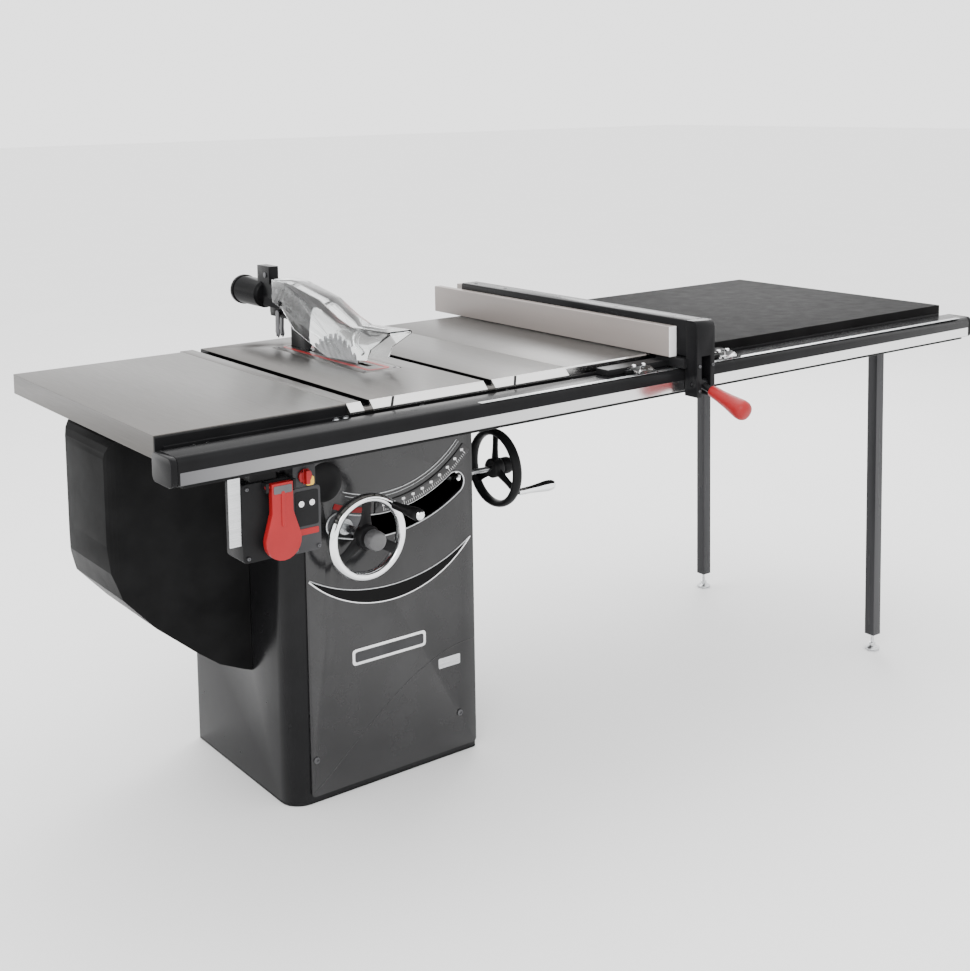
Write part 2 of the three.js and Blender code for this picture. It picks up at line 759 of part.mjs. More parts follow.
function fenceHead() {
  const block = prismX(roundRect(HEAD_FRONT, -541, 845.2, 945, [2, 2, 2, 14], 4), FENCE_X0, FENCE_X1);
  const apron = box(FENCE_X0, FENCE_X1, HEAD_FRONT, -537.6, 787, 865);
  const bridge = box(530, 600, -545, -462, 845.2, 865.6);
  const bar = box(362, 716, -499, -462, 845.2, 857);
  const slot = box(552, 578, -590, -543, 780, 872);
  const bore = cyl('x', 5.4, 530, 600, LEVER_PIVOT[1], LEVER_PIVOT[2], 20);
  return cut(union(block, apron, bridge, bar), slot, bore);
}

function fenceLever() {
  const eye = cyl('x', 13, 554, 576, LEVER_PIVOT[1], LEVER_PIVOT[2], 24);
  const pin = cyl('x', 5, 541, 589, LEVER_PIVOT[1], LEVER_PIVOT[2], 16);
  const arm = lathe('y', [[0, 0], [8, 0], [7, 40], [7, 62], [0, 62]], 0, 0, 16);
  const placed = arm.rotate([180 + LEVER_DEG, 0, 0]).translate(LEVER_PIVOT);
  return union(eye, pin, placed);
}

function fenceGrip() {
  const profile = [
    [7.4, 30], [11, 30], [12, 34], [15, 80], [20, 112], [21, 122], [18, 131], [10, 136], [0, 136.5],
    [0, 63], [7.4, 63], [7.4, 30],
  ];
  return lathe('y', profile, 0, 0, 24).rotate([180 + LEVER_DEG, 0, 0]).translate(LEVER_PIVOT);
}

function cursor(x0, x1) {
  return cut(
    prismX([[-534, 845.4], [-499.6, 845.4], [-499.6, 856], [-508, 857], [-522, 850], [-534, 849]], x0, x1),
    cyl('z', 3, 840, 870, (x0 + x1) / 2, -506, 12),
  );
}

// ---- Assembly ----
add('cabinet_shell', cabinetShell(), 'blackPaint');
add('base_pan', prismZ(cabinetOutline(0), 0, 5), 'blackPaint');
add('front_panel', frontPanel(), 'panelBlack');
add('tilt_scale', prismY(sector(273, 297, -4, 47.5, 20), -216.4, -214.6), 'darkSteel');
add('dust_port', dustPort(), 'blackPlastic');
add('main_table', mainTable(), 'castIron');
add('throat_insert', throatInsert(), 'insert');
add('left_wing', wing(WING_LEFT, SEAM_LEFT - GAP), 'castIron');
add('right_wing', wing(SEAM_MAIN + GAP, SEAM_WING), 'castIron');
add('extension_table', extensionTable(), 'laminate');
add('front_rail_tube', railTube(), 'blackPaint');
add('rail_cap_left', railCap(RAIL_LEFT, -1), 'blackPlastic');
add('rail_cap_right', railCap(RAIL_RIGHT, 1), 'blackPlastic');
add('front_rail_angle', frontAngle(), 'blackPaint');
add('rear_rail_angle', rearAngle(), 'blackPaint');
add('leg_front', leg(LEG_YS[0]), 'darkSteel');
add('leg_rear', leg(LEG_YS[1]), 'darkSteel');
add('leg_foot_front', legFoot(LEG_YS[0]), 'steel');
add('leg_foot_rear', legFoot(LEG_YS[1]), 'steel');
add('trunnion_bracket_front', trunnionBracket(-199, -187), 'darkSteel');
add('trunnion_bracket_rear', trunnionBracket(187, 199), 'darkSteel');
add('trunnion_cradle', trunnionCradle(), 'darkSteel');
add('tilt_sector', tiltSector(), 'darkSteel');
add('elevation_shaft', elevationShaft(), 'steel');
add('elevation_wheel_hub', elevationHub(), 'blackPlastic');
add('elevation_wheel_rim', elevationRim(), 'chrome');
add('elevation_handle', handleBody('y', -300, -1, ...handleSpot()), 'blackPlastic');
add('elevation_lock_knob', elevationLock(), 'blackPlastic');
add('tilt_shaft', tiltShaft(), 'steel');
add('tilt_wheel', tiltWheel(), 'blackPaint');
add('tilt_handle', handleBody('x', 341.5, 1, ...tiltHandleSpot()), 'chrome');
add('tilt_lock_knob', tiltLock(), 'blackPlastic');
add('arbor_carriage', arborCarriage(), 'darkSteel');
add('arbor_shaft', arborShaft(), 'steel');
add('saw_blade', sawBlade(), 'steel');
add('arbor_nut', arborNut(), 'darkSteel');
add('motor', motor(), 'blackPaint');
add('motor_pulley', motorPulley(), 'steel');
add('drive_belt', driveBelt(), 'rubber');
add('brake_cartridge', prismX(roundRect(78, 128, 640, 694, 5, 2), -12, 12), 'darkSteel');
add('riving_spreader', ridingSpreader(), 'steel');
add('guard_bracket', guardBracket(), 'blackPlastic');
add('kickback_pawls', kickbackPawls(), 'darkSteel');
add('guard_canopy', guardCanopy(), 'clear');
add('guard_side_left', guardSideLeft(), 'clear');
add('motor_cover', motorCover(), 'blackPaint');
add('motor_cover_latch', coverLatch(), 'blackPlastic');
add('switch_plate', switchPlate(), 'steel');
add('switch_box', switchBox(), 'blackPlastic');
add('switch_module', switchModule(), 'greyPlastic');
add('switch_paddle', switchPaddle(), 'red');
add('power_switch_knob', powerKnob(), 'red');
add('fence_tube', fenceTube(), 'blackPaint');
add('fence_face_left', box(520.5, 539.7, -512, 338, 866, 930), 'fenceFace');
add('fence_face_right', box(590.3, 609.5, -512, 338, 866, 930), 'fenceFace');
add('fence_head', fenceHead(), 'blackPaint');
add('fence_cursor_left', cursor(414, 468), 'clear');
add('fence_cursor_right', cursor(664, 712), 'clear');
add('fence_lever', fenceLever(), 'blackPaint');
add('fence_grip', fenceGrip(), 'red');

export default saw;
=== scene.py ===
"""Cabinet table saw: materials, detailed pieces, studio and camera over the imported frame."""

import json
import math

import bmesh
import bpy
from mathutils import Matrix, Vector

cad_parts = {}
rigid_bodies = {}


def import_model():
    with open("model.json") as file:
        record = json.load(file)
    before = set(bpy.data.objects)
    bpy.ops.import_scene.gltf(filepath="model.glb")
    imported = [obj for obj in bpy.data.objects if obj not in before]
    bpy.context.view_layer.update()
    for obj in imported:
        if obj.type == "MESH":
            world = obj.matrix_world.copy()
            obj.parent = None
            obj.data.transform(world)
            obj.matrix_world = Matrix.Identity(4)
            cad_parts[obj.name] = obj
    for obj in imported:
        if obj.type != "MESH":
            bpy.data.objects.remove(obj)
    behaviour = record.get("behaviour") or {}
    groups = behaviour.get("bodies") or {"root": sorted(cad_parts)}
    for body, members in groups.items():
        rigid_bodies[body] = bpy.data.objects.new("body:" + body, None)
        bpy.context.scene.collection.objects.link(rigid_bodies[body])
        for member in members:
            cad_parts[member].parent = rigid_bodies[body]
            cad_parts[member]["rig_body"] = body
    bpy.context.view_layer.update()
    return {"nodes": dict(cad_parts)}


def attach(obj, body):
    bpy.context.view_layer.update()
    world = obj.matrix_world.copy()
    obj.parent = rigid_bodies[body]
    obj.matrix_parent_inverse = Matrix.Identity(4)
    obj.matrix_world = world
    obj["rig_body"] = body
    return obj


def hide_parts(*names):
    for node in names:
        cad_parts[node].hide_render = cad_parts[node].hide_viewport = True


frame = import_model()
NODES = frame["nodes"]
MM = 0.001

# Sizes below are in mm in the frame's own axes, unless a name ends in _M.
TILT_AXIS_Z = 864
PANEL_Y = -214.0
SCALE_Y = (-216.75, -216.35)
ARC_Y = -214.8
RAIL_X = (-586, 1526)
# Height of the rail strip that carries a painted reflection.
RAIL_REFLECTION_Z = (798, 819)
TAPE_X = (20, 1500)
SLOT_XS = (-180.5, 98.5)
SLOT_END_R = 24.2
SLOT_MID_R = 321
SLOT_DEG = (-20, 34)
SHAFT_ARC_R = 324
SHAFT_DEG = -15
HANDLE_R = 79
MODULE_LIGHT_XS = (-349, -328)
LEVER_PIVOT_M = (0.565, -0.558, 0.812)
LEVER_DEG = 17.6
FLOOR_DROP_M = 0.0008
FLOOR_HALF_M = 40
WORLD_STRENGTH = 2.4
SENSOR_MM = 36
PICTURE_PX = (970, 971)
FOCAL_PX = 1417.3
CENTRE_PX = (489.8, 240)
CAMERA_M = (-1.5207, -2.6089, 1.4165)
CAMERA_DEG = (53.013, 5.899, -0.846)


# ---------------------------------------------------------------- materials
def socket(shader, name, value):
    shader.inputs[name].default_value = value


def noise(tree, vector, scale, detail):
    """A noise texture read at the given coordinates."""
    node = tree.nodes.new("ShaderNodeTexNoise")
    socket(node, "Scale", scale)
    socket(node, "Detail", detail)
    tree.links.new(vector, node.inputs["Vector"])
    return node


def make(name, base, rough, metal=0.0, spread=0.25, scale=14.0, stretch=(1, 1, 1),
         rough_span=0.08, bump=0.0, bump_scale=220.0, clear=0.0, ior=1.5, wear=0.0, sheen=0.5):
    """A finish with mottled colour and roughness, fine relief and lighter worn edges."""
    m = bpy.data.materials.new(name)
    m.use_nodes = True
    tree = m.node_tree
    tree.nodes.clear()
    link = tree.links.new
    out = tree.nodes.new("ShaderNodeOutputMaterial")
    sh = tree.nodes.new("ShaderNodeBsdfPrincipled")
    link(sh.outputs[0], out.inputs[0])
    socket(sh, "Metallic", metal)
    socket(sh, "IOR", ior)
    socket(sh, "Specular IOR Level", sheen)
    socket(sh, "Transmission Weight", clear)
    place = tree.nodes.new("ShaderNodeTexCoord")
    fit = tree.nodes.new("ShaderNodeMapping")
    fit.inputs["Scale"].default_value = stretch
    link(place.outputs["Object"], fit.inputs[0])
    tone = noise(tree, fit.outputs[0], scale, 6.0)
    ramp = tree.nodes.new("ShaderNodeValToRGB")
    lo = [c * (1 - spread) for c in base]
    hi = [min(1.0, c * (1 + spread)) for c in base]
    ramp.color_ramp.elements[0].position = 0.3
    ramp.color_ramp.elements[0].color = (*lo, 1)
    ramp.color_ramp.elements[1].position = 0.7
    ramp.color_ramp.elements[1].color = (*hi, 1)
    link(tone.outputs["Fac"], ramp.inputs[0])
    if wear > 0:
        geo = tree.nodes.new("ShaderNodeNewGeometry")
        edge = tree.nodes.new("ShaderNodeMapRange")
        socket(edge, "From Min", 0.52)
        socket(edge, "From Max", 0.62)
        socket(edge, "To Max", wear)
        link(geo.outputs["Pointiness"], edge.inputs["Value"])
        mix = tree.nodes.new("ShaderNodeMix")
        mix.data_type = "RGBA"
        link(edge.outputs[0], mix.inputs[0])
        link(ramp.outputs[0], mix.inputs[6])
        mix.inputs[7].default_value = (*[min(1.0, c * 2.2 + 0.05) for c in base], 1)
        link(mix.outputs[2], sh.inputs["Base Color"])
    else:
        link(ramp.outputs[0], sh.inputs["Base Color"])
    smear = noise(tree, fit.outputs[0], scale * 2.3, 4.0)
    span = tree.nodes.new("ShaderNodeMapRange")
    socket(span, "To Min", max(0.02, rough - rough_span))
    socket(span, "To Max", rough + rough_span)
    link(smear.outputs["Fac"], span.inputs["Value"])
    link(span.outputs[0], sh.inputs["Roughness"])
    if bump > 0:
        grit = noise(tree, fit.outputs[0], bump_scale, 3.0)
        relief = tree.nodes.new("ShaderNodeBump")
        socket(relief, "Strength", bump)
        socket(relief, "Distance", 0.0006)
        link(grit.outputs["Fac"], relief.inputs["Height"])
        link(relief.outputs[0], sh.inputs["Normal"])
    return m


MAT = {
    "paint": make("black_paint", (0.004, 0.004, 0.0045), 0.24, bump=0.10, bump_scale=900,
                  sheen=0.14, wear=0.1),
    "panel": make("panel_black", (0.013, 0.0128, 0.0135), 0.16, bump=0.05, bump_scale=600,
                  sheen=0.45, wear=0.08),
    "gloss": make("gloss_black", (0.002, 0.002, 0.0022), 0.1, bump=0.03, bump_scale=400,
                  sheen=0.08),
    "cover": make("cover_black", (0.009, 0.009, 0.0092), 0.34, bump=0.16, bump_scale=900,
                  sheen=0.012, wear=0.08),
    "rail": make("rail_black", (0.006, 0.006, 0.0065), 0.22, bump=0.05, bump_scale=700,
                 sheen=0.06, wear=0.1),
    "iron": make("cast_iron", (0.10, 0.095, 0.090), 0.36, 0.9, 0.08, 5, (60, 1.5, 60), 0.07,
                 bump=0.08, bump_scale=30),
    "ground": make("ground_edge", (0.80, 0.79, 0.78), 0.16, 1.0, 0.05, 5, (2, 30, 30), 0.05,
                   bump=0.05),
    "laminate": make("laminate", (0.008, 0.0078, 0.008), 0.55, bump=0.25, bump_scale=1400,
                     sheen=0.015),
    "steel": make("steel", (0.55, 0.56, 0.57), 0.28, 1.0, 0.12, 8, (1, 40, 40), bump=0.08,
                  bump_scale=60),
    "blade": make("blade_steel", (0.22, 0.22, 0.225), 0.3, 1.0, 0.12, 8, (1, 40, 40), bump=0.08,
                  bump_scale=60),
    "bright": make("bright_steel", (0.80, 0.80, 0.81), 0.18, 1.0, 0.08, 12, bump=0.04),
    "dark": make("dark_steel", (0.10, 0.10, 0.105), 0.38, 0.85, 0.2, 20, bump=0.15, bump_scale=500),
    "leg": make("leg_paint", (0.03, 0.03, 0.032), 0.26, 0.3, 0.2, 20, (1, 1, 0.1), bump=0.08,
                sheen=0.2),
    "chrome": make("chrome", (0.86, 0.87, 0.88), 0.07, 1.0, 0.03, 12, rough_span=0.03),
    "plastic": make("black_plastic", (0.009, 0.009, 0.0095), 0.38, bump=0.22, bump_scale=1100,
                    sheen=0.08, wear=0.08),
    "grey": make("grey_plastic", (0.03, 0.03, 0.032), 0.42, bump=0.25, bump_scale=1100,
                 sheen=0.2, wear=0.1),
    "knob": make("knob_grey", (0.09, 0.09, 0.092), 0.4, bump=0.2, bump_scale=900, sheen=0.35),
    "red": make("red_plastic", (0.25, 0.007, 0.009), 0.38, spread=0.12, bump=0.14,
                bump_scale=700, sheen=0.28),
    "yellow": make("yellow_plastic", (0.70, 0.42, 0.02), 0.4, spread=0.1, bump=0.1),
    "white": make("white_print", (0.75, 0.75, 0.75), 0.5, spread=0.06),
    "clear": make("clear_plastic", (0.90, 0.91, 0.91), 0.05, clear=1.0, ior=1.30, spread=0.01,
                  rough_span=0.01),
    "face": make("fence_laminate", (0.22, 0.195, 0.182), 0.36, 0.0, 0.06, 6, (3, 0.4, 3),
                 bump=0.06, sheen=0.35),
    "rubber": make("rubber", (0.012, 0.012, 0.012), 0.75, bump=0.4, bump_scale=500, sheen=0.2),
}


# ---------------------------------------------------------------- mesh tools
def publish(name, bm, material, body, bevel=0.0, segments=2, smooth=38, limit=30):
    """Makes an object of a finished bmesh and rides it on a body."""
    bmesh.ops.recalc_face_normals(bm, faces=bm.faces)
    mesh = bpy.data.meshes.new(name)
    bm.to_mesh(mesh)
    bm.free()
    mesh.materials.append(MAT[material])
    for face in mesh.polygons:
        face.use_smooth = True
    obj = bpy.data.objects.new(name, mesh)
    bpy.context.scene.collection.objects.link(obj)
    if bevel > 0:
        mod = obj.modifiers.new("bevel", "BEVEL")
        mod.width = bevel
        mod.segments = segments
        mod.limit_method = "ANGLE"
        mod.angle_limit = math.radians(limit)
        mod.harden_normals = True
    else:
        mesh.set_sharp_from_angle(angle=math.radians(smooth))
    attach(obj, body)
    return obj


def refine(node, material, bevel=0.0012, segments=2, limit=28):
    """A bevelled, softened skin over a CAD solid."""
    source = NODES[node]
    bm = bmesh.new()
    bm.from_mesh(source.data)
    bmesh.ops.remove_doubles(bm, verts=bm.verts, dist=2e-6)
    bmesh.ops.dissolve_limit(bm, angle_limit=math.radians(1.0), verts=bm.verts, edges=bm.edges)
    obj = publish(node + "_skin", bm, material, source["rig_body"], bevel, segments, limit=limit)
    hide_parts(node)
    return obj


def keep(node, material, smooth=35):
    """Shows the CAD solid itself with a finished material."""
    obj = NODES[node]
    obj.data.materials.clear()
    obj.data.materials.append(MAT[material])
    for face in obj.data.polygons:
        face.use_smooth = True
    obj.data.set_sharp_from_angle(angle=math.radians(smooth))
    return obj


def axes(axis):
    """Maps (radial a, radial b, along) to x, y, z."""
    if axis == "x":
        return lambda a, b, t: Vector((t, a, b))
    if axis == "y":
        return lambda a, b, t: Vector((a, t, b))
    return lambda a, b, t: Vector((a, b, t))


def revolve_into(bm, axis, profile, a, b, seg=48, closed=False):
    """Turns (radius, along) points about an axis through (a, b)."""
    at = axes(axis)
    rings = []
    for r, t in profile:
        if r < 1e-6:
            rings.append([bm.verts.new(at(a * MM, b * MM, t * MM))])
            continue
        rings.append([
            bm.verts.new(at((a + r * math.cos(2 * math.pi * k / seg)) * MM,
                            (b + r * math.sin(2 * math.pi * k / seg)) * MM, t * MM))
            for k in range(seg)
        ])
    pairs = list(zip(rings, rings[1:]))
    if closed:
        pairs.append((rings[-1], rings[0]))
    for lo, hi in pairs:
        for k in range(seg):
            n = (k + 1) % seg
            if len(lo) == 1 and len(hi) == 1:
                continue
            if len(lo) == 1:
                bm.faces.new((lo[0], hi[k], hi[n]))
            elif len(hi) == 1:
                bm.faces.new((lo[k], lo[n], hi[0]))
            else:
                bm.faces.new((lo[k], lo[n], hi[n], hi[k]))


def revolve(name, axis, profile, a, b, material, body, seg=48, closed=False, smooth=38):
    bm = bmesh.new()
    revolve_into(bm, axis, profile, a, b, seg, closed)
    return publish(name, bm, material, body, smooth=smooth)


def prism_into(bm, plane, outline, t0, t1):
    """Outline in mm in plane 'xz', 'yz' or 'xy', run between t0 and t1 along the third axis."""
    def at(a, b, t):
        if plane == "xz":
            return Vector((a, t, b)) * MM
        if plane == "yz":
            return Vector((t, a, b)) * MM
        return Vector((a, b, t)) * MM
    low = [bm.verts.new(at(a, b, t0)) for a, b in outline]
    high = [bm.verts.new(at(a, b, t1)) for a, b in outline]
    bm.faces.new(low)
    bm.faces.new(list(reversed(high)))
    n = len(outline)
    for i in range(n):
        j = (i + 1) % n
        bm.faces.new((low[i], high[i], high[j], low[j]))


def prism(name, plane, outline, t0, t1, material, body, bevel=0.6, segments=2):
    bm = bmesh.new()
    prism_into(bm, plane, outline, t0, t1)
    return publish(name, bm, material, body, bevel * MM, segments)


def block_into(bm, x0, x1, y0, y1, z0, z1):
    prism_into(bm, "xy", [(x0, y0), (x1, y0), (x1, y1), (x0, y1)], z0, z1)


def rounded(a0, a1, b0, b1, r, steps=5):
    """Outline of a rectangle with round corners."""
    points = []
    corners = ((a0, b0, 1, 1, 180), (a1, b0, -1, 1, 270), (a1, b1, -1, -1, 0), (a0, b1, 1, -1, 90))
    for a, b, sa, sb, start in corners:
        for k in range(steps + 1):
            t = math.radians(start + 90 * k / steps)
            points.append((a + sa * r + r * math.cos(t), b + sb * r + r * math.sin(t)))
    return points


def tube_into(bm, points, radius, seg=12):
    """A round bar along a line of points."""
    pts = [Vector(p) * MM for p in points]
    last = None
    side = None
    for i, p in enumerate(pts):
        ahead = (pts[min(i + 1, len(pts) - 1)] - pts[max(i - 1, 0)]).normalized()
        if side is None:
            side = ahead.orthogonal().normalized()
        side = (side - ahead * side.dot(ahead)).normalized()
        up = ahead.cross(side)
        ring = []
        for k in range(seg):
            t = 2 * math.pi * k / seg
            ring.append(bm.verts.new(p + (side * math.cos(t) + up * math.sin(t)) * radius * MM))
        if last:
            for k in range(seg):
                n = (k + 1) % seg
                bm.faces.new((last[k], last[n], ring[n], ring[k]))
        else:
            bm.faces.new(ring)
        last = ring
    bm.faces.new(list(reversed(last)))


def tube(name, points, radius, material, body, seg=12):
    bm = bmesh.new()
    tube_into(bm, points, radius, seg)
    return publish(name, bm, material, body)


def socket_screws(name, axis, spots, face, side, radius, material, body):
    """Cap screws standing on a face; spots are (a, b) in mm on the other two axes."""
    bm = bmesh.new()
    for a, b in spots:
        profile = [(0, 1.2), (radius * 0.5, 1.2), (radius * 0.5, 3.0), (radius * 0.86, 3.2),
                   (radius, 2.6), (radius, 0.0), (0, 0.0)]
        revolve_into(bm, axis, [(r, face + side * t) for r, t in profile], a, b, 20)
    return publish(name, bm, material, body)


def arc_point(r, deg):
    """Point on the cabinet's front at a radius and angle about the tilt axis."""
    t = math.radians(deg)
    return r * math.sin(t), TILT_AXIS_Z - r * math.cos(t)


# ---------------------------------------------------------------- cabinet
refine("cabinet_shell", "paint", 0.0008)
refine("base_pan", "paint", 0.0008)
refine("front_panel", "panel", 0.0009)
refine("dust_port", "plastic", 0.0008)
refine("tilt_scale", "panel", 0.0003, 1)


def scale_marks():
    """Division marks of the tilt scale, with a blank spot at every fifth."""
    bm = bmesh.new()
    for deg in range(0, 46):
        long = 9 if deg % 5 == 0 else 5
        half = 0.5 if deg % 5 == 0 else 0.35
        x0, z0 = arc_point(293 - long, deg)
        x1, z1 = arc_point(293, deg)
        nx = math.cos(math.radians(deg)) * half
        nz = math.sin(math.radians(deg)) * half
        corners = [(x0 - nx, z0 - nz), (x0 + nx, z0 + nz), (x1 + nx, z1 + nz), (x1 - nx, z1 - nz)]
        prism_into(bm, "xz", corners, *SCALE_Y)
    publish("scale_marks", bm, "white", "base")
    bm = bmesh.new()
    for deg in range(0, 46, 5):
        x, z = arc_point(280, deg)
        prism_into(bm, "xz", rounded(x - 3.8, x + 3.8, z - 2.6, z + 2.6, 1.2, 2), *SCALE_Y)
    publish("scale_spots", bm, "white", "base")


scale_marks()


def slot_highlight_rim():
    """Rolled lip around the curved handwheel slot, in bright steel as a painted highlight on the
    slot's edge.
    """
    first, last = SLOT_DEG
    points = []

    def side(radius, start, sweep):
        for k in range(29):
            x, z = arc_point(radius, start + sweep * k / 28)
            points.append((x, ARC_Y, z))

    def end(deg, start):
        cx, cz = arc_point(SLOT_MID_R, deg)
        for k in range(1, 12):
            t = math.radians(start + 180 * k / 12)
            points.append((cx + SLOT_END_R * math.cos(t), ARC_Y, cz + SLOT_END_R * math.sin(t)))

    side(SLOT_MID_R + SLOT_END_R, first, last - first)
    end(last, last - 90)
    side(SLOT_MID_R - SLOT_END_R, last, first - last)
    end(first, first + 90)
    points.append(points[0])
    tube("slot_highlight_rim", points, 1.7, "steel", "base", 10)


def slot_shroud():
    """Dark bearing cap and red mark behind the handwheel."""
    bm = bmesh.new()
    cap = [(0, -222), (20, -221.5), (34, -219), (40, -215.5), (40, -214.5), (0, -214.5)]
    revolve_into(bm, "y", cap, -136, 655, 40)
    publish("bearing_cap", bm, "plastic", "base")
    points = [arc_point(292, -24 + 18 * k / 10) for k in range(11)]
    points += [arc_point(281, -6 - 18 * k / 10) for k in range(11)]
    prism("arc_mark", "xz", points, -215.6, -214.3, "red", "base", 0.3)


slot_shroud()
slot_highlight_rim()


def crescent():
    """Black crescent styling recess under the handwheel slot, with bright beads on its lower and
    upper edges as painted highlights.
    """
    low = []
    high = []
    for k in range(49):
        u = k / 48
        t = math.radians(-137 + 98 * u)
        thick = 31 * math.sin(math.pi * min(1.0, u * 1.02)) ** 0.9
        low.append((13 + 271 * math.cos(t), 652 + 271 * math.sin(t)))
        high.append((13 + (271 - thick) * math.cos(t), 652 + (271 - thick) * math.sin(t)))
    inside = [k for k in range(49) if -180 < low[k][0] < 223 and -180 < high[k][0] < 223]
    outline = [low[k] for k in inside] + [high[k] for k in reversed(inside[1:-1])]
    prism("panel_crescent", "xz", outline, -215.4, -214.2, "gloss", "base", 0.4)
    # Bright beads along the crescent's edges: painted highlights on the recess edges.
    lower = [(low[k][0], -214.9, low[k][1]) for k in inside]
    upper = [(high[k][0], -214.7, high[k][1]) for k in inside]
    tube("panel_lower_highlight", lower, 1.9, "bright", "base", 10)
    tube("panel_upper_highlight", upper, 1.2, "steel", "base", 8)
    # Thin steel arcs over the tilt scale: painted highlights on the panel.
    for radius, a0, a1, thick in ((255, -22, 47, 1.0), (262, -20, 47, 0.6)):
        points = []
        for k in range(25):
            x, z = arc_point(radius, a0 + (a1 - a0) * k / 24)
            points.append((x, -214.5, z))
        tube("scale_bead_%d" % radius, points, thick, "steel", "base", 8)


crescent()


def sweep_bead():
    """Shallow pressed line that rises across the lower panel."""
    points = []
    for k in range(25):
        u = k / 24
        x = -178 + 400 * u
        z = 22 + 225 * math.sin(u * math.pi / 2) ** 1.1
        points.append((x, PANEL_Y, z))
    tube("panel_sweep", points, 1.0, "panel", "base", 8)


sweep_bead()
panel_corners = [(-171, 90), (183, 90), (-171, 770), (183, 770)]
socket_screws("panel_screws", "y", panel_corners, PANEL_Y, -1, 6.5, "dark", "base")
prism("name_plate", "xz", rounded(-82, 98, 262, 296, 8), -215.6, -214.2, "bright", "base", 0.5)
prism("name_plate_inlay", "xz", rounded(-76, 92, 268, 290, 5), -216.0, -215.5, "grey", "base", 0.2)
prism("rating_plate", "xz", rounded(130, 186, 200, 222, 3), -214.9, -214.2, "steel", "base", 0.2)

# ---------------------------------------------------------------- table
refine("main_table", "iron", 0.0008)
refine("left_wing", "iron", 0.0009)
refine("right_wing", "iron", 0.0009)
refine("throat_insert", "iron", 0.0005)
refine("extension_table", "laminate", 0.0012)
refine("front_rail_tube", "rail", 0.0006, limit=50)
refine("front_rail_angle", "rail", 0.0008)
refine("rear_rail_angle", "paint", 0.0008)
refine("rail_cap_left", "rail", 0.0015, 3, 45)
refine("rail_cap_right", "rail", 0.0015, 3, 45)


def wing_front_bolts():
    """Hexagon heads and washers that hold the rail angle to the tables."""
    head = [(0, -456.5), (5.0, -456.5), (5.8, -455.6), (5.8, -452.2), (0, -452.2)]
    washer = [(0, -453.2), (8.5, -453.2), (8.5, -452.0), (0, -452.0)]
    spots = [(-522, 832), (-496, 832), (-246, 836), (-226, 836), (-60, 834), (140, 834), (306, 832),
             (510, 832)]
    bm = bmesh.new()
    for x, z in spots:
        revolve_into(bm, "y", head, x, z, 6)
        revolve_into(bm, "y", washer, x, z, 20)
    publish("rail_bolts", bm, "steel", "base")


wing_front_bolts()


def insert_frame():
    """Thin red band let into the insert around the blade slot."""
    outer = rounded(-25, 30, -212, 150.5, 13, 5)
    inner = rounded(-17, 22, -204, 150.4, 9, 5)
    bm = bmesh.new()
    n = len(outer)
    rows = []
    for ring, z in ((outer, 864.0), (outer, 864.45), (inner, 864.45), (inner, 864.0)):
        rows.append([bm.verts.new(Vector((x, y, z)) * MM) for x, y in ring])
    for i in range(4):
        lo, hi = rows[i], rows[(i + 1) % 4]
        for k in range(n):
            j = (k + 1) % n
            bm.faces.new((lo[k], lo[j], hi[j], hi[k]))
    publish("insert_band", bm, "red", "base")
    spots = [(-36, -214), (36, -214), (-36, 142), (36, 142)]
    socket_screws("insert_screws", "z", spots, 861.6, 1, 4.2, "dark", "base")


insert_frame()


def rail_reflection_strip():
    """Strip on the rail's face between its rolled edges, coloured as a painted reflection: dark at
    the left end, bright towards the right.
    """
    m = make("rail_reflection_metal", (0.5, 0.5, 0.5), 0.16, 1.0, 0.03, 3, (0.5, 20, 20), 0.03)
    tree = m.node_tree
    shader = next(n for n in tree.nodes if n.type == "BSDF_PRINCIPLED")
    place = tree.nodes.new("ShaderNodeTexCoord")
    split = tree.nodes.new("ShaderNodeSeparateXYZ")
    ramp = tree.nodes.new("ShaderNodeValToRGB")
    span = tree.nodes.new("ShaderNodeMapRange")
    socket(span, "From Min", -0.6)
    socket(span, "From Max", 0.6)
    # Painted reflection: the strip's colour runs from dark to bright along the rail.
    ramp.color_ramp.elements[0].color = (0.11, 0.11, 0.115, 1)
    ramp.color_ramp.elements[1].color = (0.85, 0.85, 0.85, 1)
    tree.links.new(place.outputs["Object"], split.inputs[0])
    tree.links.new(split.outputs["X"], span.inputs["Value"])
    tree.links.new(span.outputs[0], ramp.inputs[0])
    tree.links.new(ramp.outputs[0], shader.inputs["Base Color"])
    MAT["band"] = m
    (x0, x1), (z0, z1) = RAIL_X, RAIL_REFLECTION_Z
    flat = [(x0, z0), (x1, z0), (x1, z1), (x0, z1)]
    prism("rail_reflection_strip", "xz", flat, -536.35, -535.9, "band", "base", 0.15, 1)


rail_reflection_strip()


